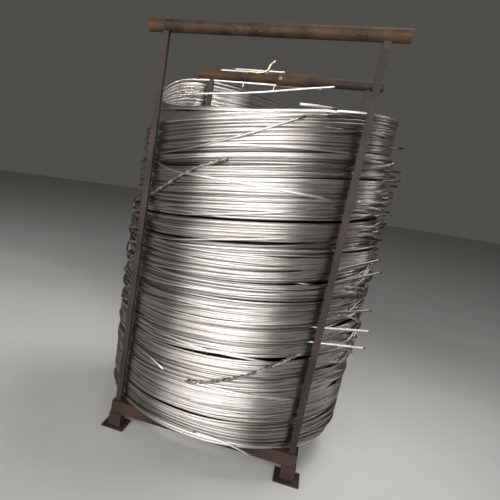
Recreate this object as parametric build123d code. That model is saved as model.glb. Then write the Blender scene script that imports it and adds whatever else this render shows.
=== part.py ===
"""A stack of coils of stainless steel tubing, standing in a rusty four-post rack.

Five coils lie on one another, and a bundle of loose turns leans on top, low at the front right and
higher at the back left, where its outer turns spring up to the pipe. Each coil is one turned solid with its
bore. Its turns show as ridges on its two ends, and grooves round its wall show where bands of turns part. The
rack has a square base frame on four feet, four square posts and two pipes across the tops of the posts.
X runs to the right, Y to the back and Z up. The origin is on the floor, under the middle of the stack.
"""
from build123d import *
import math
import os

# Tubing: 3/8 inch tube, 9.53 mm across, wound side by side from the bore outwards
tube_diameter = 9.53
layers = 20
shoulder_layers = 2
bore_radius = 370.0
seat_gap = 0.3

# Rows of turns in each coil, from the base upwards
bottom_rows = 29
lower_rows = 33
middle_rows = 40
upper_rows = 25
top_rows = 15

# Grooves round the wall of a coil, between bands of about so many rows
band_rows = 8
groove_rows = 1
groove_layers = 2

# Loose turns on top: least and greatest height of their ring, and the direction in which it rises
lean_low = 10.0
lean_ring = 72.0
ring_direction = 50.0
loose_setback = 6.0

# Outer loose turns that spring up: greatest height, fall from there to the stack's axis, and direction
lean_high = 275.0
lean_fall = 320.0
sprung_direction = 128.0
sprung_layers = 3

# Rack: base of rectangular tube on four feet
beam_width = 50.0
beam_height = 60.0
beam_wall = 4.0
foot_pad = 110.0
foot_pad_thickness = 8.0
foot_leg = 60.0
foot_height = 70.0

# Rack: square posts, clear of the coils, and pipes across their tops
post_side = 25.0
post_gap = 4.0
pipe_clearance = 1.0
pipe_diameter = 48.3
pipe_wall = 3.2
pipe_overhang = 75.0

# Sleeve on the back pipe, with its bolt
sleeve_diameter = 66.0
sleeve_length = 190.0
sleeve_offset = 45.0
bolt_shank = 12.0
bolt_head = 19.0
bolt_head_height = 8.0
bolt_from_end = 20.0

# Worked out from the sizes above
stack = {
    "coil_bottom": bottom_rows,
    "coil_lower": lower_rows,
    "coil_middle": middle_rows,
    "coil_upper": upper_rows,
    "coil_top": top_rows,
}
coil_radius = bore_radius + layers * tube_diameter
base_height = foot_height + beam_height
post_offset = (coil_radius + post_gap) / math.sqrt(2) + post_side / 2
pipe_radius = pipe_diameter / 2
stack_top = base_height + seat_gap + sum(rows * tube_diameter + seat_gap for rows in stack.values())
pipe_centre = stack_top + lean_high + tube_diameter / 2 + pipe_clearance + pipe_radius
beam_end = post_offset + beam_width / 2
beam_between = post_offset - beam_width / 2


def ridges(inner, count, level, side):
    """The ends of the turns as ridges, from the inner radius outwards. side is 1 on top and -1 below."""
    points = [(inner, level)]
    for turn in range(count):
        start = inner + turn * tube_diameter
        points.append((start + tube_diameter / 2, level + side * tube_diameter / 2))
        points.append((start + tube_diameter, level))
    return Polyline(*points)


def turned(curves):
    """One solid turned about Z from a closed outline in radius and height."""
    section = make_face(curves)
    return revolve(Plane.XZ * section, Axis.Z)


def wall(low, high, rows):
    """The outside of a coil between its shoulders, with a groove between one band of turns and the next."""
    bands = round(rows / band_rows)
    points = [(coil_radius, low)]
    for band in range(1, bands):
        middle = low + (high - low) * band / bands
        points.append((coil_radius, middle - groove_rows * tube_diameter))
        points.append((coil_radius - groove_layers * tube_diameter, middle))
        points.append((coil_radius, middle + groove_rows * tube_diameter))
    points.append((coil_radius, high))
    return Polyline(*points)


def coil(floor, rows):
    """A coil from its lowest crest at floor: bore, ridged ends, rounded shoulders and a grooved wall."""
    low = floor + tube_diameter / 2
    high = floor + rows * tube_diameter - tube_diameter / 2
    count = layers - shoulder_layers
    flat_end = bore_radius + count * tube_diameter
    shoulder = shoulder_layers * tube_diameter
    round_x = flat_end + shoulder * math.sin(math.pi / 4)
    round_z = shoulder * (1 - math.cos(math.pi / 4))
    outline = [ridges(bore_radius, count, low, -1)]
    outline.append(ThreePointArc((flat_end, low), (round_x, low + round_z), (coil_radius, low + shoulder)))
    outline.append(wall(low + shoulder, high - shoulder, rows))
    outline.append(ThreePointArc((coil_radius, high - shoulder), (round_x, high - round_z), (flat_end, high)))
    outline.append(ridges(bore_radius, count, high, 1))
    outline.append(Line((bore_radius, high), (bore_radius, low)))
    return turned(outline)


def leaning_ring(outer):
    """The loose turns that lie side by side: a ring cut by a slanting, ridged end."""
    rise = lean_ring - lean_low
    angle = math.degrees(math.atan(rise / (2 * outer)))
    middle = (lean_low + lean_ring) / 2
    ring = extrude(Circle(outer) - Circle(bore_radius), lean_ring + tube_diameter)
    spare = shoulder_layers * tube_diameter
    inner = bore_radius - spare
    count = layers + 2 * shoulder_layers
    far = inner + count * tube_diameter
    top = 2 * coil_radius
    outline = [ridges(inner, count, 0, 1)]
    outline.append(Line((far, 0), (far + rise, 0)))
    outline.append(Line((far + rise, 0), (far + rise, top)))
    outline.append(Line((far + rise, top), (0, top)))
    outline.append(Line((0, top), (0, 0)))
    outline.append(Line((0, 0), (inner, 0)))
    slant = Rot(0, 0, ring_direction) * Rot(0, -angle, 0)
    return ring - Pos(0, 0, middle) * slant * turned(outline)


def sprung_turns(outer):
    """The outer loose turns that rise steeply to the back left: a thin ring cut by a steeper slant."""
    inner = outer - sprung_layers * tube_diameter
    ring = extrude(Circle(outer) - Circle(inner), lean_high)
    angle = math.degrees(math.atan(lean_fall / outer))
    wide = 4 * coil_radius
    above = Box(wide, wide, wide, align=(Align.CENTER, Align.CENTER, Align.MIN))
    slant = Rot(0, 0, sprung_direction) * Rot(0, -angle, 0)
    return ring - Pos(0, 0, lean_high - lean_fall) * slant * above


def loose_turns(floor):
    """The bundle on top of the coils, with the turns that spring up out of it."""
    outer = coil_radius - loose_setback
    return Pos(0, 0, floor) * (leaning_ring(outer) + sprung_turns(outer))


def beam(length):
    """A rectangular tube along X, with its middle at the origin."""
    bore = Box(length, beam_width - 2 * beam_wall, beam_height - 2 * beam_wall)
    return Box(length, beam_width, beam_height) - bore


def foot():
    """A square leg on a floor pad, from the floor up to the base frame."""
    pad = Box(foot_pad, foot_pad, foot_pad_thickness, align=(Align.CENTER, Align.CENTER, Align.MIN))
    leg = Box(foot_leg, foot_leg, foot_height, align=(Align.CENTER, Align.CENTER, Align.MIN))
    return pad + leg


def pipe(diameter, bore, length):
    """A pipe along X, with its middle at the origin."""
    return Rot(0, 90, 0) * (Cylinder(diameter / 2, length) - Cylinder(bore / 2, length))


def post():
    """A square bar from the base frame up to the pipe, with its top cut to the pipe's round."""
    height = pipe_centre - base_height
    bar = Box(post_side, post_side, height, align=(Align.CENTER, Align.CENTER, Align.MIN))
    cope = Pos(0, 0, height) * Rot(0, 90, 0) * Cylinder(pipe_radius + seat_gap, 2 * post_side)
    return Pos(0, 0, base_height) * (bar - cope)


def sleeve():
    """The wider sleeve on the back pipe, with a hole for its bolt."""
    body = pipe(sleeve_diameter, pipe_diameter + 2 * seat_gap, sleeve_length)
    hole = Pos(bolt_from_end - sleeve_length / 2, -sleeve_diameter / 2, 0) * Rot(90, 0, 0)
    return body - hole * Cylinder(bolt_shank / 2 + seat_gap, sleeve_diameter / 2)


def sleeve_bolt():
    """The bolt through the sleeve's front wall, bearing on the pipe."""
    wall = sleeve_diameter / 2 - pipe_radius
    head = Cylinder(bolt_head / 2, bolt_head_height, align=(Align.CENTER, Align.CENTER, Align.MIN))
    shank = Cylinder(bolt_shank / 2, wall, align=(Align.CENTER, Align.CENTER, Align.MAX))
    front = Pos(bolt_from_end - sleeve_length / 2, -sleeve_diameter / 2, 0)
    return front * Rot(90, 0, 0) * (head + shank)


def build():
    """Every piece in its place, by name."""
    parts = {}
    floor = base_height + seat_gap
    for name, rows in stack.items():
        parts[name] = coil(floor, rows)
        floor += rows * tube_diameter + seat_gap
    parts["loose_turns"] = loose_turns(stack_top)

    beam_middle = foot_height + beam_height / 2
    for name, side in (("front", -1), ("back", 1)):
        parts["base_beam_" + name] = Pos(0, side * post_offset, beam_middle) * beam(2 * beam_end)
        parts["top_pipe_" + name] = Pos(0, side * post_offset, pipe_centre) * pipe(
            pipe_diameter, pipe_diameter - 2 * pipe_wall, 2 * (post_offset + pipe_overhang)
        )
    for name, side in (("left", -1), ("right", 1)):
        cross = Rot(0, 0, 90) * beam(2 * beam_between)
        parts["base_beam_" + name] = Pos(side * post_offset, 0, beam_middle) * cross
    for depth, y in (("front", -post_offset), ("back", post_offset)):
        for width, x in (("left", -post_offset), ("right", post_offset)):
            parts[f"post_{depth}_{width}"] = Pos(x, y, 0) * post()
            parts[f"foot_{depth}_{width}"] = Pos(x, y, 0) * foot()

    at_sleeve = Pos(sleeve_offset, post_offset, pipe_centre)
    parts["pipe_sleeve"] = at_sleeve * sleeve()
    parts["sleeve_bolt"] = at_sleeve * sleeve_bolt()
    return parts


os.makedirs("parts", exist_ok=True)
for name, shape in build().items():
    export_step(shape, f"parts/{name}.step")
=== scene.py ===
"""Coils of bright steel tubing in a rusty rack: the turns of tube, the finishes, the light and the camera."""
import math

import bpy
import numpy as np
from mathutils import Matrix, Vector


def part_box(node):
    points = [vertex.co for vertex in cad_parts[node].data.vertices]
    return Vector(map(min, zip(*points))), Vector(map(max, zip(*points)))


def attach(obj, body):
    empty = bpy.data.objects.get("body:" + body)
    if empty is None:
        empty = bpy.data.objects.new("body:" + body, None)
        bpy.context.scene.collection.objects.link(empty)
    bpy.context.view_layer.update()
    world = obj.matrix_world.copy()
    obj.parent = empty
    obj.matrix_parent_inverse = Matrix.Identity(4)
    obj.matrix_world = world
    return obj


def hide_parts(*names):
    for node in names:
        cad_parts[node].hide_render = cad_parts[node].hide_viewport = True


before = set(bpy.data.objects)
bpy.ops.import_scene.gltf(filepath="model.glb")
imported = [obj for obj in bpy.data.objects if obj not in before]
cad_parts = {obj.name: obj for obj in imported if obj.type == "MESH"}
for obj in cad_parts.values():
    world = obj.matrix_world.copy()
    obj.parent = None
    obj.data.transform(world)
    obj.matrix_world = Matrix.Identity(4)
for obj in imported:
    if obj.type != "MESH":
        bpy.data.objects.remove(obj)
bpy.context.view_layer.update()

# Tubing, and the places of the coils and the rack from the frame
tube = 0.00953
tube_wall = 0.0009
layers = 20
shoulder_layers = 2
coil_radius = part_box("coil_middle")[1].x
base_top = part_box("base_beam_front")[1].z
stack_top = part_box("coil_top")[1].z
post_inner = -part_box("post_front_left")[1].x * math.sqrt(2)
post_outer = -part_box("post_front_left")[0].x * math.sqrt(2)
pipe_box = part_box("top_pipe_back")
pipe_y = (pipe_box[0].y + pipe_box[1].y) / 2
pipe_z = (pipe_box[0].z + pipe_box[1].z) / 2
pipe_radius = (pipe_box[1].z - pipe_box[0].z) / 2
bore_radius = coil_radius - layers * tube

# Turns are drawn as closed loops with this many points, and tubes with this many sides
segments = 72
tube_sides = 8
bore_segments = 48
bore_sides = 5
angles = np.arange(segments) * 2 * math.pi / segments

# The layers that show on the outside of each coil, and the furthest out that a turn passes a post
core_radius = coil_radius - 0.0290
close_radius = coil_radius - 0.0180
post_clearance = 0.0004
near_post = post_inner - tube / 2 - post_clearance

# Between the posts turns may stand out further: by how much, and how far from a post that starts and ends
spare_room = 0.010
spare_from = math.radians(6)
spare_to = math.radians(26)
post_angles = [math.radians(a) for a in (45, 135, 225, 315)]

# How far out loose lengths lie: hidden among the turns, or on top of them. At a post it is near_post.
inside = coil_radius - 0.028
on_top = coil_radius + 0.0125

# Rows of the close layer: in bands of about so many, with slack between most rows and a long narrow wedge
# between some. Widths are in tubes and lengths in radians.
band_rows = 8
close_share = 0.96
close_uneven = 0.001
close_drift = 0.0005
# Tones of the close layer's rows: random between these, and lower than those of the turns laid on it, as
# painted shade for the deeper layer
close_shaded_tones = (0.18, 0.72)
slack_width = (0.0, 0.08)
slack_length = 0.5
wedge_chance = 0.32
wedge_width = (0.4, 1.0)
wedge_length = (0.3, 0.8)
groove_width = (0.5, 1.1)
groove_length = (0.5, 1.1)

# Where a coil rounds off at its two ends: depth, and over how many rows
shoulder_depth = 0.006
shoulder_rows = 0.9

# Turns on the close layer: drift in rows, lift above that layer, and tone. They drift more at the sides, and
# some are left out near a groove.
valley_turn = (0.3, 0.004, 0.4)
stray_turn = (1.5, 0.006, 0.5)
stray_share = 0.4
tone_spread = (-0.2, 0.4)
lift_drift = 0.001
side_drift = 1.6
groove_reach = 0.8
left_out = 0.6

# The turns lean: up to the right and, above eye level, up to the front
eye_height = 1.087
lean_azimuth = math.radians(7.59)
lean_side = 6.4
lean_fore = -1.2
lean_gain = 1.7
lean_start = 0.276


def between(value, low, high):
    """Smooth step from 0 at low to 1 at high."""
    share = np.clip((value - low) / (high - low), 0, 1)
    return share * share * (3 - 2 * share)


def apart(first, second):
    """Angle from second to first, from -pi to pi."""
    return (first - second + math.pi) % (2 * math.pi) - math.pi


def raised(height, x, y):
    """Height of a leaning turn at x, y, for its height on the stack's axis above the base."""
    share = between(height, 0, lean_start)
    above_eye = (height - eye_height) / coil_radius
    right = x * math.cos(lean_azimuth) + y * math.sin(lean_azimuth)
    front = x * math.sin(lean_azimuth) - y * math.cos(lean_azimuth)
    side = np.tan(np.radians(lean_side + lean_gain * above_eye))
    fore = np.tan(np.radians(lean_fore + lean_gain * above_eye))
    return base_top + height + share * (side * right + fore * front)


def ring_room(right=spare_room, left=spare_room):
    """How far out a turn's middle may lie: inside the posts, and between them further out by so much."""
    nearest = np.min([np.abs(apart(angles, a)) for a in post_angles], axis=0)
    rightward = np.maximum(np.cos(angles), 0) ** 2
    leftward = np.maximum(-np.cos(angles), 0) ** 2
    spare = spare_room + (right - spare_room) * rightward + (left - spare_room) * leftward
    return near_post + spare * between(nearest, spare_from, spare_to)


def relaxed(radius):
    """A stiff tube's line round the humps that it has to pass."""
    reach = range(-2, 3)
    high = np.maximum.reduce([np.roll(radius, k) for k in reach])
    return np.mean([np.roll(high, k) for k in reach], axis=0)


def settled(heights, wanted, room):
    """Radii of turns laid one after another, each outside those that it passes over."""
    placed = []
    for height, radius in zip(heights, wanted):
        radius = radius.copy()
        for other_height, other_radius in placed:
            rise = tube ** 2 - (height - other_height) ** 2
            touching = rise > 0
            lifted = other_radius[touching] + np.sqrt(rise[touching])
            radius[touching] = np.maximum(radius[touching], lifted)
        placed.append((height, np.minimum(relaxed(radius), room)))
    return [radius for height, radius in placed]


def row_places(rng, count):
    """Rows of the close layer all the way round, from 0 to 1 up the coil, with wedges between some."""
    gaps = np.empty((count - 1, segments))
    for k in range(count - 1):
        width, length = rng.uniform(*slack_width), slack_length
        if rng.random() < wedge_chance:
            width, length = rng.uniform(*wedge_width), rng.uniform(*wedge_length)
        if from_groove(k + 0.5, count) < 0.5:
            width, length = rng.uniform(*groove_width), rng.uniform(*groove_length)
        widest = rng.uniform(0, 2 * math.pi)
        gaps[k] = 1 + width * np.exp(-(apart(angles, widest) / length) ** 2)
    places = np.vstack([np.zeros(segments), np.cumsum(gaps, axis=0)])
    return places / places[-1]


def wandering(rng, size):
    """A slow drift round the ring."""
    drift = np.zeros(segments)
    for k in (1, 2, 3):
        drift += rng.normal(0, size / k) * np.cos(k * angles - rng.uniform(0, 2 * math.pi))
    return drift


def ring_points(radius, height):
    """Points of a leaning turn with this radius and height all the way round."""
    x = radius * np.cos(angles)
    y = radius * np.sin(angles)
    return np.column_stack([x, y, raised(height, x, y)])


def from_groove(place, count):
    """How many rows a place in the close layer is from the nearest groove between bands."""
    band = (count - 1) / round(count / band_rows)
    beyond = np.mod(place, band)
    return np.minimum(beyond, band - beyond)


def coil_turns(low, high, rng, looseness, end_gaps, room):
    """A coil's outer turns as (points, closed, tone): close ones, ones in their valleys, and stray ones."""
    rows = round((high - low) / tube)
    count = round(rows * close_share)
    sway = 1 + side_drift * np.cos(angles) ** 2
    span = high - low - tube - sum(end_gaps)
    lines = low + tube / 2 + end_gaps[0] + row_places(rng, count) * span
    heights, wanted, tones = [], [], []
    for k in range(count):
        shoulder = shoulder_depth * math.exp(-min(k, count - 1 - k) / shoulder_rows)
        heights.append(lines[k])
        uneven = rng.uniform(-close_uneven, close_uneven)
        wanted.append(close_radius - shoulder + uneven + wandering(rng, close_drift))
        # Painted shade: the close layer's tones run lower than those of the turns on top
        tones.append(rng.uniform(*close_shaded_tones))
    column = np.arange(segments)
    valleys = list(range(count - 1))
    rng.shuffle(valleys)
    strays = rng.uniform(0.4, count - 1.4, round(rows * stray_share * looseness))
    laid_on_top = [(k + 0.5, *valley_turn) for k in valleys] + [(place, *stray_turn) for place in strays]
    for place, drift, lift, tone in laid_on_top:
        if from_groove(place, count) < groove_reach and rng.random() < left_out:
            continue
        place = np.clip(place + wandering(rng, drift) * sway, 0.3, count - 1.3)
        below = np.floor(place).astype(int)
        part = place - below
        heights.append(lines[below, column] * (1 - part) + lines[below + 1, column] * part)
        wanted.append(close_radius + lift + wandering(rng, lift_drift))
        tones.append(tone + rng.uniform(*tone_spread))
    radii = settled(heights, wanted, room)
    return [(ring_points(r, h), True, t) for r, h, t in zip(radii, heights, tones)]


def bridging_turns(height, rng, count):
    """Stray turns that wander across the line between one coil and the next."""
    paths = []
    for _ in range(count):
        radius = near_post + 0.002 * np.ones(segments) + wandering(rng, 0.0006)
        level = height + rng.uniform(-0.004, 0.004) + wandering(rng, 0.005)
        paths.append((ring_points(np.minimum(radius, ring_room()), level), True, rng.uniform(0.4, 0.8)))
    return paths


def inner_wall(low, high, rng):
    """The turns that line the bore of one coil."""
    rows = round((high - low) / tube)
    turn = np.arange(bore_segments) * 2 * math.pi / bore_segments
    paths = []
    for k in range(rows):
        radius = bore_radius + tube / 2 + rng.uniform(0, 0.003)
        x = radius * np.cos(turn)
        y = radius * np.sin(turn)
        height = low + (k + 0.5) * (high - low) / rows
        paths.append((np.column_stack([x, y, raised(height, x, y)]), True, rng.uniform(0.3, 0.6)))
    return paths


def end_turns(height, rng):
    """The turns side by side on the end of a coil."""
    paths = []
    for k in range(layers - shoulder_layers):
        radius = bore_radius + (k + 1) * tube + wandering(rng, 0.0006)
        level = height + rng.uniform(-0.0012, 0.0012) + wandering(rng, 0.0006)
        paths.append((ring_points(radius, level), True, rng.uniform(0.4, 0.8)))
    return paths


def tube_tree(name):
    """Geometry nodes that turn every path of edges into a tube of the given radius, sides and finish."""
    tree = bpy.data.node_groups.new(name, "GeometryNodeTree")
    face = tree.interface
    face.new_socket("Geometry", in_out="INPUT", socket_type="NodeSocketGeometry")
    inputs = {
        "radius": face.new_socket("Tube radius", in_out="INPUT", socket_type="NodeSocketFloat").identifier,
        "sides": face.new_socket("Tube sides", in_out="INPUT", socket_type="NodeSocketInt").identifier,
        "closed": face.new_socket("Closed ends", in_out="INPUT", socket_type="NodeSocketBool").identifier,
        "finish": face.new_socket("Finish", in_out="INPUT", socket_type="NodeSocketMaterial").identifier,
    }
    face.new_socket("Geometry", in_out="OUTPUT", socket_type="NodeSocketGeometry")
    start = tree.nodes.new("NodeGroupInput")
    line = tree.nodes.new("GeometryNodeMeshToCurve")
    profile = tree.nodes.new("GeometryNodeCurvePrimitiveCircle")
    sweep = tree.nodes.new("GeometryNodeCurveToMesh")
    smooth = tree.nodes.new("GeometryNodeSetShadeSmooth")
    finish = tree.nodes.new("GeometryNodeSetMaterial")
    realize = tree.nodes.new("GeometryNodeRealizeInstances")
    end = tree.nodes.new("NodeGroupOutput")
    link = tree.links.new
    link(start.outputs["Geometry"], line.inputs["Mesh"])
    link(start.outputs["Tube radius"], profile.inputs["Radius"])
    link(start.outputs["Tube sides"], profile.inputs["Resolution"])
    link(line.outputs["Curve"], sweep.inputs["Curve"])
    link(profile.outputs["Curve"], sweep.inputs["Profile Curve"])
    link(start.outputs["Closed ends"], sweep.inputs["Fill Caps"])
    link(sweep.outputs["Mesh"], smooth.inputs["Geometry"])
    link(smooth.outputs["Geometry"], realize.inputs["Geometry"])
    link(realize.outputs["Geometry"], finish.inputs["Geometry"])
    link(start.outputs["Finish"], finish.inputs["Material"])
    link(finish.outputs["Geometry"], end.inputs["Geometry"])
    return tree, inputs


sweep_tree, sweep_inputs = tube_tree("tube_sweep")


def line_object(name, paths):
    """A mesh of edges only, one path after another, with one tone for the path or one for each point."""
    points, edges, tones = [], [], []
    first = 0
    for path, closed, tone in paths:
        size = len(path)
        points.append(path)
        edges += [(first + k, first + k + 1) for k in range(size - 1)]
        if closed:
            edges.append((first + size - 1, first))
        tones += np.broadcast_to(tone, size).tolist()
        first += size
    mesh = bpy.data.meshes.new(name)
    mesh.from_pydata(np.vstack(points).tolist(), edges, [])
    mesh.attributes.new("tone", "FLOAT", "POINT").data.foreach_set("value", tones)
    piece = bpy.data.objects.new(name, mesh)
    bpy.context.scene.collection.objects.link(piece)
    return piece


def swept(name, paths, finish, radius=tube / 2, sides=tube_sides, closed_ends=True):
    """A plain mesh of tubes along the paths."""
    piece = line_object(name, paths)
    modifier = piece.modifiers.new("sweep", "NODES")
    modifier.node_group = sweep_tree
    modifier[sweep_inputs["radius"]] = radius
    modifier[sweep_inputs["sides"]] = sides
    modifier[sweep_inputs["closed"]] = closed_ends
    modifier[sweep_inputs["finish"]] = finish
    bpy.context.view_layer.update()
    graph = bpy.context.evaluated_depsgraph_get()
    mesh = bpy.data.meshes.new_from_object(piece.evaluated_get(graph))
    piece.modifiers.remove(modifier)
    piece.data = mesh
    mesh.name = name
    if not mesh.materials:
        mesh.materials.append(finish)
    return piece


def joined(name, pieces):
    """One piece from several."""
    with bpy.context.temp_override(active_object=pieces[0], selected_editable_objects=pieces):
        bpy.ops.object.join()
    pieces[0].name = name
    return pieces[0]


def hollowed(piece):
    """Gives open tubes their wall, so that their cut ends show the bore. The cut faces stay flat."""
    outer_faces = len(piece.data.polygons)
    wall = piece.modifiers.new("wall", "SOLIDIFY")
    wall.thickness = tube_wall
    wall.offset = -1
    graph = bpy.context.evaluated_depsgraph_get()
    mesh = bpy.data.meshes.new_from_object(piece.evaluated_get(graph))
    piece.modifiers.remove(wall)
    for face in mesh.polygons[2 * outer_faces:]:
        face.use_smooth = False
    piece.data = mesh
    return piece


def shaded_core(name, corners, finish):
    """The close-packed turns inside a coil, as one closed ring through four rings of points, in tone 0:
    painted shade.
    """
    faces = []
    for side in range(4):
        other = (side + 1) % 4
        for k in range(segments):
            n = (k + 1) % segments
            near, far = side * segments, other * segments
            faces.append((near + k, near + n, far + n, far + k))
    mesh = bpy.data.meshes.new(name)
    mesh.from_pydata(np.vstack(corners).tolist(), [], faces)
    # Tone 0 all over: painted shade, which shows near black through the gaps between the outer turns
    mesh.attributes.new("tone", "FLOAT", "POINT").data.foreach_set("value", [0.0] * len(mesh.vertices))
    mesh.materials.append(finish)
    piece = bpy.data.objects.new(name, mesh)
    bpy.context.scene.collection.objects.link(piece)
    return piece


def colour(red, green, blue):
    """A colour from its 0 to 255 values as seen."""
    values = [c / 255 for c in (red, green, blue)]
    return [c / 12.92 if c <= 0.04045 else ((c + 0.055) / 1.055) ** 2.4 for c in values] + [1]


class Finish:
    """A material with its node tree, and short ways to add nodes to it."""

    def __init__(self, name):
        self.material = bpy.data.materials.new(name)
        self.material.use_nodes = True
        self.tree = self.material.node_tree
        self.shader = self.tree.nodes["Principled BSDF"]
        self.place = self.add("ShaderNodeTexCoord").outputs["Object"]

    def add(self, kind, **inputs):
        """A new node, with values for its inputs by name."""
        node = self.tree.nodes.new(kind)
        for key, value in inputs.items():
            node.inputs[key.replace("_", " ")].default_value = value
        return node

    def link(self, source, target):
        """Leads an output into an input."""
        self.tree.links.new(source, target)

    def noise(self, scale, detail=4.0, stretch=(1, 1, 1)):
        """Noise in the object's own space, as a value."""
        mapping = self.add("ShaderNodeMapping")
        mapping.inputs["Scale"].default_value = stretch
        self.link(self.place, mapping.inputs["Vector"])
        node = self.add("ShaderNodeTexNoise", Scale=scale, Detail=detail)
        self.link(mapping.outputs["Vector"], node.inputs["Vector"])
        return node.outputs["Fac"]

    def ramp(self, source, *stops):
        """Colours by value: stops are (place, colour)."""
        node = self.add("ShaderNodeValToRGB")
        points = node.color_ramp.elements
        while len(points) < len(stops):
            points.new(0.5)
        for point, (place, shade) in zip(points, stops):
            point.position = place
            point.color = shade
        self.link(source, node.inputs["Fac"])
        return node.outputs["Color"]

    def mixed(self, share, first, second, blend="MIX"):
        """Two colours mixed by a share. Each of the three is a value or a link."""
        node = self.tree.nodes.new("ShaderNodeMix")
        node.data_type = "RGBA"
        node.blend_type = blend
        share_input, first_colour, second_colour = 0, 6, 7
        for place, value in ((share_input, share), (first_colour, first), (second_colour, second)):
            socket = node.inputs[place]
            if isinstance(value, bpy.types.NodeSocket):
                self.link(value, socket)
            else:
                socket.default_value = value
        return node.outputs[2]

    def scaled(self, source, low, high, from_low=0.3, from_high=0.7):
        """A value brought to another range."""
        node = self.add("ShaderNodeMapRange", From_Min=from_low, From_Max=from_high, To_Min=low, To_Max=high)
        self.link(source, node.inputs["Value"])
        return node.outputs["Result"]

    def along_tube(self):
        """Direction round the stack, which a turn's drawing lines follow."""
        node = self.tree.nodes.new("ShaderNodeVectorMath")
        node.operation = "CROSS_PRODUCT"
        node.inputs[0].default_value = (0, 0, 1)
        self.link(self.place, node.inputs[1])
        return node.outputs["Vector"]

    def bump(self, source, distance):
        """Raises the surface by a value, up to a distance in metres."""
        node = self.add("ShaderNodeBump", Strength=1.0, Distance=distance)
        self.link(source, node.inputs["Height"])
        self.link(node.outputs["Normal"], self.shader.inputs["Normal"])

    def set(self, **inputs):
        """The finished material, with the shader's inputs by name."""
        for key, value in inputs.items():
            socket = self.shader.inputs[key.replace("_", " ")]
            if isinstance(value, bpy.types.NodeSocket):
                self.link(value, socket)
            else:
                socket.default_value = value
        return self.material


def drawn_steel():
    """Bright drawn stainless tube, each turn with its own tone, duller in patches. Tone 0 is painted shade
    for the dark gaps deep between turns.
    """
    finish = Finish("drawn_steel")
    tone = finish.add("ShaderNodeAttribute")
    tone.attribute_name = "tone"
    shade = finish.ramp(
        tone.outputs["Fac"],
        # Tone 0, near black, is painted shade for the middles of the coils, seen through the gaps between
        # turns
        (0.0, colour(26, 25, 24)),
        (0.08, colour(76, 72, 68)),
        (0.35, colour(197, 193, 190)),
        (0.7, colour(221, 217, 215)),
        (1.0, colour(243, 240, 238)),
    )
    dull = finish.ramp(finish.noise(5.0), (0.35, colour(227, 224, 219)), (0.65, colour(255, 253, 252)))
    return finish.set(
        Base_Color=finish.mixed(1.0, shade, dull, "MULTIPLY"),
        Metallic=1.0,
        Roughness=finish.scaled(finish.noise(9.0), 0.38, 0.48),
        Anisotropic=0.9,
        Anisotropic_Rotation=0.25,
        Tangent=finish.along_tube(),
    )


def rusty_bar(name, dark, red, pale, gloss=0.2):
    """Mill scale gone to dark brown rust, with redder patches and a pale dust."""
    finish = Finish(name)
    patches = finish.mixed(finish.scaled(finish.noise(7.0), 0, 1, 0.42, 0.62), dark, red)
    speckle = finish.mixed(finish.scaled(finish.noise(160.0, 3.0), 0, 0.5, 0.5, 0.72), patches, pale)
    grain = finish.noise(420.0, 5.0)
    finish.bump(grain, 0.0004)
    roughness = finish.scaled(grain, 0.66 - 0.4 * gloss, 0.9 - 0.4 * gloss)
    return finish.set(Base_Color=speckle, Roughness=roughness, Metallic=0.0, Specular_IOR_Level=gloss)


def worn_bolt():
    """A bolt head, patchy between dull and brighter metal."""
    finish = Finish("worn_bolt")
    shade = finish.ramp(finish.noise(240.0), (0.4, colour(78, 64, 56)), (0.62, colour(128, 116, 106)))
    finish.bump(finish.noise(600.0), 0.0002)
    return finish.set(Base_Color=shade, Metallic=0.3, Roughness=0.6)


def pale_floor():
    """A plain pale floor."""
    finish = Finish("pale_floor")
    shade = finish.ramp(finish.noise(1.5), (0.3, colour(194, 193, 190)), (0.7, colour(200, 199, 196)))
    return finish.set(Base_Color=shade, Roughness=0.9)


def straw_steel():
    """Steel with a straw-coloured heat tint."""
    finish = Finish("straw_steel")
    shade = finish.ramp(finish.noise(60.0), (0.35, colour(148, 134, 98)), (0.65, colour(206, 196, 168)))
    return finish.set(Base_Color=shade, Metallic=0.9, Roughness=0.45)


def weathered_steel():
    """Steel gone grey-brown, with darker specks."""
    finish = Finish("weathered_steel")
    shade = finish.ramp(finish.noise(45.0), (0.4, colour(92, 82, 74)), (0.6, colour(170, 164, 156)))
    return finish.set(Base_Color=shade, Metallic=0.8, Roughness=0.5)


steel = drawn_steel()
straw = straw_steel()
weathered = weathered_steel()
post_rust = rusty_bar("post_rust", colour(36, 31, 28), colour(52, 40, 34), colour(68, 60, 55))
beam_rust = rusty_bar("beam_rust", colour(43, 34, 30), colour(62, 45, 37), colour(78, 66, 59))
pipe_rust = rusty_bar("pipe_rust", colour(25, 17, 12), colour(58, 37, 19), colour(90, 64, 38), gloss=0.25)
bolt_finish = worn_bolt()


def dress(object_name, finish):
    """Gives a node of the frame its finish."""
    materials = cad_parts[object_name].data.materials
    materials.clear()
    materials.append(finish)


def dress_rack():
    """Finishes for the posts, base, pipes, sleeve and bolt."""
    for object_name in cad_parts:
        if object_name.startswith("post_"):
            dress(object_name, post_rust)
        if object_name.startswith(("base_", "foot_")):
            dress(object_name, beam_rust)
        if object_name.startswith(("top_pipe", "pipe_sleeve")):
            dress(object_name, pipe_rust)
    dress("sleeve_bolt", bolt_finish)


def finished(piece, stands_for=None):
    """Every piece of tubing rides on the rack, and hides the frame's node that it stands for."""
    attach(piece, "root")
    if stands_for:
        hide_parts(stands_for)


# Coils from the base up: looseness, which multiplies the stray turns, gaps at the bottom and top, how far out
# turns may stand at the right and left, and how many more turns stray across the line below
coil_winding = {
    "coil_bottom": (0.8, (0.001, 0.0005), (0.014, 0.014), 0),
    "coil_lower": (1.1, (0.0005, 0.0), (0.022, 0.020), 3),
    "coil_middle": (1.1, (0.0, 0.003), (0.022, 0.018), 3),
    "coil_upper": (1.0, (0.0025, 0.0), (0.004, 0.010), 0),
    "coil_top": (1.0, (0.0, 0.001), (-0.012, 0.006), 3),
}


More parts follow.
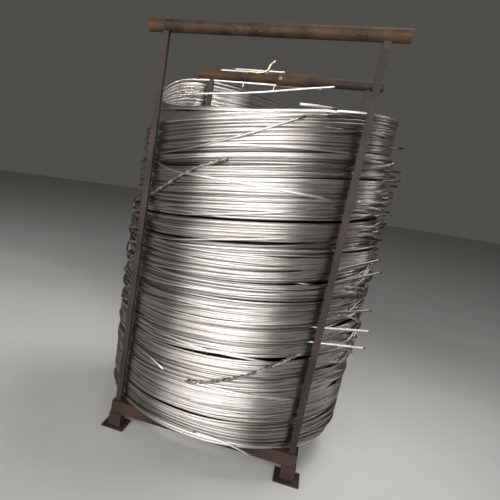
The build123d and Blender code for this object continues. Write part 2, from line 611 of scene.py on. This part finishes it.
def make_coils():
    """The five coils, from the base up."""
    rng = np.random.default_rng(110)
    for name, (looseness, end_gaps, room, bridges) in coil_winding.items():
        low, high = (corner.z - base_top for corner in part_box(name))
        turns = coil_turns(low, high, rng, looseness, end_gaps, ring_room(*room))
        turns += bridging_turns(low, rng, bridges)
        if name == "coil_bottom":
            turns += end_turns(low + tube / 2, rng)
        if name == "coil_top":
            turns += end_turns(high - tube / 2, rng)
        outside = swept(name + "_turns", turns, steel)
        bore = swept(name + "_bore", inner_wall(low, high, rng), steel, sides=bore_sides)
        # The middle is in painted shade, dark between the outer turns
        middle = shaded_core(name + "_shaded_core", [
            ring_points(bore_radius + tube / 2, low + tube / 2),
            ring_points(core_radius, low + tube / 2),
            ring_points(core_radius, high - tube / 2),
            ring_points(bore_radius + tube / 2, high - tube / 2),
        ], steel)
        finished(joined(name + "_turns", [outside, bore, middle]), name)


# Loose turns that spring up at the back left: greatest rise and its direction, how quickly they fall off and
# how much quicker to the left, and their number. Above some rise they pass outside the post, by some tubes.
spring_rise = 0.270
spring_angle = math.radians(132)
spring_narrowness = 2.25
spring_left = 1.35
spring_rows = 36
outside_post_above = 0.105
outside_post_by = (0.6, 1.4)
back_left_post = math.radians(135)
past_post = math.radians(26)

# Where they lie low they spread inwards, and where they rise they keep near the coil's side
spring_inset = 0.012
spring_spread = 0.09
high_inset = (0.008, 0.02)
spring_lift = 0.004
spring_climb = 0.012
spring_drift = 0.0035
spring_tones = (0.65, 1.0)
loose_uneven = 0.002

# Painted shade: their tone is darkest at the back, between the first two of these angles, and lightens
# towards the right and the left
painted_shade_from = math.radians(70)
painted_shade_to = math.radians(110)
bright_from = math.radians(134)
least_bright = 0.08

# Loose turns that lie side by side on top
face_rise = 0.085
face_angle = math.radians(100)
face_narrowness = 2.2
face_rows = 17
face_lift = 0.005
face_drift = 0.001
face_tones = (0.4, 0.85)


def rising_line(rise, highest, narrowness):
    """Height of a line all the way round that rises to one side, and falls faster to the left."""
    turn = apart(angles, highest)
    turn = np.clip(np.where(turn > 0, turn * spring_left, turn), -math.pi, math.pi)
    return stack_top + rise * ((1 + np.cos(turn)) / 2) ** narrowness


spring_line = rising_line(spring_rise, spring_angle, spring_narrowness)
face_line = rising_line(face_rise, face_angle, face_narrowness)


def loose_ring(radius, share, line, low):
    """Points of a loose turn that has risen from the leaning stack's top towards the line by this share."""
    points = ring_points(radius, stack_top - base_top)
    points[:, 2] += low
    points[:, 2] += share * np.maximum(line - points[:, 2], 0)
    return points


def sprung_turns(rng):
    """The outer loose turns, from the lowest to the highest, spread inwards where they lie low."""
    high_side = between((1 + np.cos(apart(angles, spring_angle))) / 2, 0.2, 0.9)
    near = np.exp(-(apart(angles, back_left_post) / past_post) ** 2)
    bright = between(angles, painted_shade_to, bright_from) + between(-angles, -painted_shade_from, 0)
    room = ring_room()
    paths = []
    for k in range(spring_rows):
        share = (k + rng.uniform(0.2, 0.8)) / spring_rows
        low_radius = coil_radius - spring_inset - share * spring_spread
        high_radius = coil_radius - rng.uniform(*high_inset)
        radius = low_radius * (1 - high_side) + high_radius * high_side
        if share * spring_rise > outside_post_above:
            out = post_outer + tube * rng.uniform(*outside_post_by)
            radius = radius + (out - radius) * near
        else:
            radius = np.minimum(radius, room)
        low = spring_lift + spring_climb * share + rng.uniform(-loose_uneven, loose_uneven)
        points = loose_ring(radius, share, spring_line, low)
        points[:, 2] += wandering(rng, spring_drift) * share
        # Painted shade darkens their tone at the back
        tone = rng.uniform(*spring_tones) * (least_bright + (1 - least_bright) * np.clip(bright, 0, 1))
        paths.append((points, True, tone))
    return paths


def face_turns(rng):
    """The loose turns side by side on top, from the bore outwards."""
    paths = []
    for k in range(face_rows):
        radius = bore_radius + (k + 0.8) * tube + wandering(rng, face_drift)
        share = 0.8 + 0.2 * k / (face_rows - 1)
        points = loose_ring(radius, share, face_line, face_lift + rng.uniform(-loose_uneven, loose_uneven))
        paths.append((points, True, rng.uniform(*face_tones)))
    return paths


def make_loose_turns():
    """The leaning bundle: turns that spring up at the back, turns side by side on top, and a middle in
    painted shade.
    """
    rng = np.random.default_rng(23)
    outside = swept("loose_turns_outer", sprung_turns(rng) + face_turns(rng), steel)
    inner, outer = bore_radius + tube / 2, core_radius - 0.02
    middle = shaded_core("loose_turns_shaded_core", [
        loose_ring(inner, 0, face_line, -tube),
        loose_ring(outer, 0, face_line, -tube),
        loose_ring(outer, 0.95, face_line, -tube / 2),
        loose_ring(inner, 0.75, face_line, -tube / 2),
    ], steel)
    finished(joined("loose_turns_leaning", [outside, middle]), "loose_turns")


# Degrees between the points of a loose length
strand_step = 3.0


def strand(places, tone):
    """A loose length on the outside of the coils, through (angle in degrees, height, radius) places."""
    places = np.array(places, float)
    order = np.argsort(places[:, 0])
    places = places[order]
    first, last = places[0, 0], places[-1, 0]
    turn = np.linspace(first, last, max(3, round((last - first) / strand_step) + 1))
    height, radius = (hermite(places[:, 0], places[:, k], turn) for k in (1, 2))
    a = np.radians(turn)
    return np.column_stack([radius * np.cos(a), radius * np.sin(a), height]), False, tone


def hermite(x, y, at):
    """A smooth line through the points x, y."""
    slope = np.gradient(y, x)
    k = np.clip(np.searchsorted(x, at) - 1, 0, len(x) - 2)
    width = x[k + 1] - x[k]
    t = (at - x[k]) / width
    first = (2 * t ** 3 - 3 * t ** 2 + 1) * y[k] + (t ** 3 - 2 * t ** 2 + t) * width * slope[k]
    return first + (3 * t ** 2 - 2 * t ** 3) * y[k + 1] + (t ** 3 - t ** 2) * width * slope[k + 1]


# Cut ends that spring out: the middle of each side in degrees and how many, and short ones at the upper right
sides_with_ends = ((0, 14), (90, 10), (180, 12))
short_ends_at_right = 26


def level_at(height, angle, radius):
    """Height of a leaning turn at an angle in degrees and a radius."""
    a = math.radians(angle)
    return float(raised(height, radius * math.cos(a), radius * math.sin(a)))


def springing_end(middle, rng):
    """A cut end that leaves the turns before the middle of a side and springs out near it."""
    low = rng.uniform(0.16, stack_top - 0.12)
    start = middle - rng.uniform(46, 56)
    end = middle + rng.uniform(-22, 16)
    out = coil_radius + rng.uniform(0.010, 0.032)
    first = level_at(low - base_top, start, inside)
    last = level_at(low - base_top, end, out)
    on_the_way = (start * 0.4 + end * 0.6, (first + last) / 2, near_post + 0.008)
    places = [(start, first, inside), on_the_way, (end, last + rng.uniform(-0.02, 0.03), out)]
    return strand(places, rng.uniform(0.4, 0.8))


def short_end(rng):
    """A straight cut end that sticks out at the upper right."""
    level = rng.uniform(0.80, 1.26)
    a = math.radians(rng.uniform(-40, -26))
    x, y = inside * math.cos(a), inside * math.sin(a)
    start = np.array([x, y, float(raised(level, x, y))])
    end = [rng.uniform(0.572, 0.596), rng.uniform(-0.20, -0.05), start[2] + rng.uniform(-0.01, 0.045)]
    return np.linspace(start, end, 5), False, rng.uniform(0.1, 0.5)


def make_stray_ends():
    """Cut ends that spring out of the coils between the posts."""
    rng = np.random.default_rng(41)
    paths = [springing_end(middle, rng) for middle, count in sides_with_ends for _ in range(count)]
    paths += [short_end(rng) for _ in range(short_ends_at_right)]
    finished(hollowed(swept("stray_ends", paths, steel, closed_ends=False)))


# Springy loops at the right and left: angles in degrees and heights that they span, how many, and how steep
tangles = (
    (-40, 26, 0.50, 0.93, 30, 0.06),
    (-142, -212, 0.46, 1.04, 30, 0.025),
)


def springy_loop(start, end, low, high, steep, rng):
    """A loop that comes out of the turns, bulges and goes back in."""
    level = rng.uniform(low, high)
    hump = rng.uniform(-0.4, 1.6) * steep
    places = [(start, level, inside)]
    for share in (0.22, 0.42, 0.62, 0.8):
        angle = start + (end - start) * (share + rng.uniform(-0.05, 0.05))
        level += rng.uniform(-steep, steep)
        out = coil_radius + rng.uniform(0.012, 0.036) * math.sin(math.pi * share)
        places.append((angle, level + hump * math.sin(math.pi * share), out))
    places.append((end, level + rng.uniform(-steep, steep), inside))
    return strand(places, rng.uniform(0.15, 0.9))


def make_tangle():
    """Springy loops that bulge out at the right of the middle coil and at the left."""
    rng = np.random.default_rng(17)
    paths = []
    for start, end, low, high, count, steep in tangles:
        paths += [springy_loop(start, end, low, high, steep, rng) for _ in range(count)]
    finished(swept("tangled_loops", paths, steel))


def line_through(points, steps=10):
    """A smooth open line through points."""
    points = np.array(points, float)
    length = np.concatenate([[0], np.cumsum(np.linalg.norm(np.diff(points, axis=0), axis=1))])
    at = np.linspace(0, length[-1], steps * (len(points) - 1) + 1)
    return np.column_stack([hermite(length, points[:, k], at) for k in range(3)])


# Heights of a tube on and under the back pipe, and the place of a length that hangs before it
on_pipe = pipe_z + pipe_radius + tube / 2
under_pipe = pipe_z - pipe_radius - tube / 2
before_pipe = pipe_y - 0.052


def make_pipe_lengths():
    """Straight cut lengths on, under and before the back pipe."""
    upper = on_pipe + tube
    back = pipe_y - 0.004
    paths = [
        ([(-0.37, pipe_y, on_pipe), (-0.24, pipe_y, on_pipe), (-0.11, pipe_y, on_pipe)], 0.6),
        ([(-0.29, pipe_y - 0.002, upper), (-0.14, pipe_y - 0.001, upper), (-0.02, pipe_y, upper)], 0.5),
        ([(-0.46, before_pipe, 1.677), (-0.373, before_pipe, 1.684), (-0.171, before_pipe, 1.704),
          (0.155, before_pipe, 1.752), (0.25, before_pipe, 1.764)], 0.9),
        ([(-0.48, back, under_pipe), (-0.15, back, under_pipe), (0.19, back, under_pipe)], 1.0),
    ]
    paths = [(line_through(points), False, tone) for points, tone in paths]
    finished(hollowed(swept("lengths_on_pipe", paths, steel, closed_ends=False)))


def make_ends_under_pipe():
    """Two thin ends that hang down before the back pipe."""
    front, low = pipe_y - tube, under_pipe - tube / 2
    paths = []
    for x, lean, drop in ((-0.228, -0.002, 0.020), (-0.059, -0.006, 0.034)):
        points = [(x, front, under_pipe + tube / 4), (x, front, low), (x + lean, front, low - drop)]
        paths.append((line_through(points, steps=4), False, 0.9))
    finished(swept("ends_under_pipe", paths, steel, radius=tube * 0.3))


def make_bent_hook():
    """A thicker length on the back pipe that ends in a bent hook."""
    points = [
        (-0.21, pipe_y - 0.011, on_pipe),
        (-0.135, pipe_y - 0.011, on_pipe),
        (-0.108, pipe_y - 0.012, on_pipe + 0.014),
        (-0.098, pipe_y - 0.013, on_pipe + 0.040),
        (-0.076, pipe_y - 0.014, on_pipe + 0.060),
    ]
    paths = [(line_through(points), False, 0.8)]
    finished(hollowed(swept("bent_hook", paths, straw, radius=tube * 0.75, closed_ends=False)))


def springing_out(low, high, end_x, end_y, tone):
    """A length that passes inside the right-hand post and stands straight out to its cut end."""
    points = []
    for angle, radius in ((-63, inside), (-58, inside + 0.008), (-53, near_post - 0.004), (-48, near_post)):
        a = math.radians(angle)
        points.append(np.array([radius * math.cos(a), radius * math.sin(a), low]))
    start, end = points[-1], np.array([end_x, end_y, high])
    for share in (0.2, 0.45, 0.7, 1):
        points.append(start + share * (end - start))
    return line_through(points, steps=5), False, tone


def make_crossing_lengths():
    """Loose lengths that cross the coils, as the photo shows them, with their cut ends."""
    paths = [
        strand([(-140, 1.264, inside), (-134, 1.261, near_post), (-122, 1.240, on_top), (-81, 1.220, on_top),
                (-50, 1.204, near_post), (-43, 1.200, inside)], 1.0),
        strand([(-141, 1.278, inside), (-134, 1.289, near_post), (-113, 1.324, on_top), (-92, 1.386, on_top),
                (-70, 1.480, on_top)], 0.3),
        strand([(-73, 1.518, on_top), (-66, 1.519, on_top), (-59, 1.519, on_top)], 0.8),
        strand([(-140, 1.484, near_post), (-131, 1.480, near_post), (-110, 1.474, 0.556),
                (-94, 1.477, 0.556), (-76, 1.494, 0.554), (-60, 1.508, 0.550), (-48, 1.516, 0.54)], 1.0),
        strand([(-138, 1.430, inside), (-133, 1.424, near_post), (-113, 1.432, on_top), (-93, 1.449, on_top),
                (-72, 1.482, on_top), (-60, 1.498, near_post)], 0.9),
        springing_out(0.925, 0.998, 0.580, -0.280, 0.22),
        springing_out(0.872, 0.952, 0.590, -0.310, 0.25),
        springing_out(0.698, 0.718, 0.597, -0.362, 0.6),
        springing_out(0.634, 0.646, 0.594, -0.366, 0.8),
        springing_out(0.752, 0.790, 0.590, -0.300, 0.2),
        strand([(-96, 0.398, on_top), (-74, 0.393, on_top), (-49, 0.383, on_top)], 1.0),
        strand([(-90, 0.178, on_top), (-74, 0.157, on_top), (-64, 0.115, on_top)], 1.0),
        strand([(-134, 0.440, near_post), (-119, 0.436, on_top), (-108, 0.405, on_top)], 1.0),
        strand([(-38, 1.213, near_post), (-22, 1.222, on_top), (-8, 1.236, 0.596), (6, 1.262, on_top)], 0.8),
    ]
    finished(hollowed(swept("crossing_lengths", paths, steel, sides=10, closed_ends=False)))


# Points along a wire for each twist
points_per_twist = 8


def twisted(path, radius, turn_length, tone):
    """Two wires twisted together along a path."""
    points = path[0]
    length = np.concatenate([[0], np.cumsum(np.linalg.norm(np.diff(points, axis=0), axis=1))])
    at = np.linspace(0, length[-1], max(4, round(length[-1] / turn_length * points_per_twist)))
    line = np.column_stack([np.interp(at, length, points[:, k]) for k in range(3)])
    out = line * [1, 1, 0]
    out /= np.linalg.norm(out, axis=1)[:, None]
    phase = 2 * math.pi * at / turn_length
    wires = []
    for start in (0, math.pi):
        side = np.sin(phase + start)[:, None] * [0, 0, 1] + np.cos(phase + start)[:, None] * out
        wires.append((line + radius * side, False, tone))
    return wires


def make_twisted_lengths():
    """Weathered lengths twisted in pairs across the coils."""
    upper = strand([(-140, 1.106, inside), (-134, 1.122, near_post), (-124, 1.160, on_top),
                    (-109, 1.245, on_top), (-95, 1.302, on_top)], 0.5)
    lower = strand([(-97, 0.392, on_top), (-92, 0.400, on_top), (-85, 0.425, on_top), (-73, 0.474, on_top),
                    (-62, 0.535, on_top), (-50, 0.585, near_post), (-42, 0.600, inside)], 0.5)
    paths = twisted(upper, 0.0032, 0.05, 0.5) + twisted(lower, 0.0042, 0.05, 0.5)
    finished(swept("twisted_lengths", paths, weathered, radius=tube * 0.42))


def place_camera():
    """The photo's viewing angle: to the left of +Y, downwards, and with a roll."""
    zoom = 0.94
    place = (0.314, -2.358, base_top + eye_height)
    heading, pitch, roll = (math.radians(a) for a in (17.70, 13.50, 8.09))
    camera = bpy.data.cameras.new("camera")
    camera.sensor_width = 36
    camera.lens = 35.857 * zoom
    camera.shift_x = 0.20 * zoom
    camera.shift_y = 0.08 * zoom - 0.004
    holder = bpy.data.objects.new("camera", camera)
    bpy.context.scene.collection.objects.link(holder)
    ahead = math.cos(pitch)
    forward = Vector((-math.sin(heading) * ahead, math.cos(heading) * ahead, -math.sin(pitch)))
    level = Vector((math.cos(heading), math.sin(heading), 0))
    upright = level.cross(forward)
    right = level * math.cos(roll) + upright * math.sin(roll)
    up = right.cross(forward)
    turn = Matrix((right, up, -forward)).transposed().to_4x4()
    holder.matrix_world = Matrix.Translation(place) @ turn
    bpy.context.scene.camera = holder


def lamp(name, place, target, size, power, beam=180):
    """A soft square light that faces its target, with the width of its beam in degrees."""
    light = bpy.data.lights.new(name, "AREA")
    light.shape = "RECTANGLE"
    light.size, light.size_y = size
    light.energy = power
    light.spread = math.radians(beam)
    holder = bpy.data.objects.new(name, light)
    bpy.context.scene.collection.objects.link(holder)
    aim = (Vector(target) - Vector(place)).to_track_quat("-Z", "Y")
    holder.matrix_world = Matrix.Translation(place) @ aim.to_matrix().to_4x4()


# Beams onto the sprung turns: azimuths in degrees, how far off and how high the lamps are, and how far out
# and how high they aim. The turns at fan_middle degrees mirror a beam from azimuth 0, and those one degree
# further round mirror a beam from fan_ratio degrees further.
fan_azimuths = (-28, -14, 0, 14)
fan_distance = 4.6
fan_height = 4.0
fan_reach = 0.98
fan_level = 1.57
fan_size = (1.0, 0.4)
fan_power = 0.44
fan_beam = 10
fan_middle = 143
fan_ratio = 1.85


def light_fan(azimuth):
    """A narrow beam over the near rim onto the sprung turns that mirror this azimuth."""
    along = math.radians(azimuth)
    at = math.radians(fan_middle + azimuth / fan_ratio)
    x, y = fan_reach * coil_radius * math.cos(at), fan_reach * coil_radius * math.sin(at)
    place = (x + fan_distance * math.cos(along), y + fan_distance * math.sin(along), fan_height)
    lamp(f"fan_{azimuth}", place, (x, y, fan_level), fan_size, fan_power, fan_beam)


def light_studio():
    """Soft light from the front and above, glints at the right, dim light all round, and a pale floor."""
    world = bpy.data.worlds.new("studio")
    bpy.context.scene.world = world
    world.use_nodes = True
    background = world.node_tree.nodes["Background"]
    background.inputs["Color"].default_value = (0.077, 0.075, 0.069, 1)
    background.inputs["Strength"].default_value = 1.0
    lamp("overhead", (1.2, 0.8, 4.6), (0, 0, 1.2), (2.0, 2.0), 20, beam=70)
    lamp("key", (-0.36, -4.6, 2.6), (-0.26, 0, 2.6), (12.0, 3.6), 438, beam=105)
    lamp("right_edge", (3.7, 1.7, 2.6), (0.45, -0.15, 0.95), (0.5, 0.9), 0.48, beam=36)
    for azimuth in fan_azimuths:
        light_fan(azimuth)
    bpy.ops.mesh.primitive_circle_add(vertices=64, radius=30, fill_type="NGON")
    floor = bpy.context.active_object
    floor.name = "floor"
    floor.data.materials.append(pale_floor())


dress_rack()
make_coils()
make_loose_turns()
make_crossing_lengths()
make_twisted_lengths()
make_stray_ends()
make_tangle()
make_pipe_lengths()
make_ends_under_pipe()
make_bent_hook()
place_camera()
light_studio()

bpy.context.scene.view_settings.view_transform = "Standard"
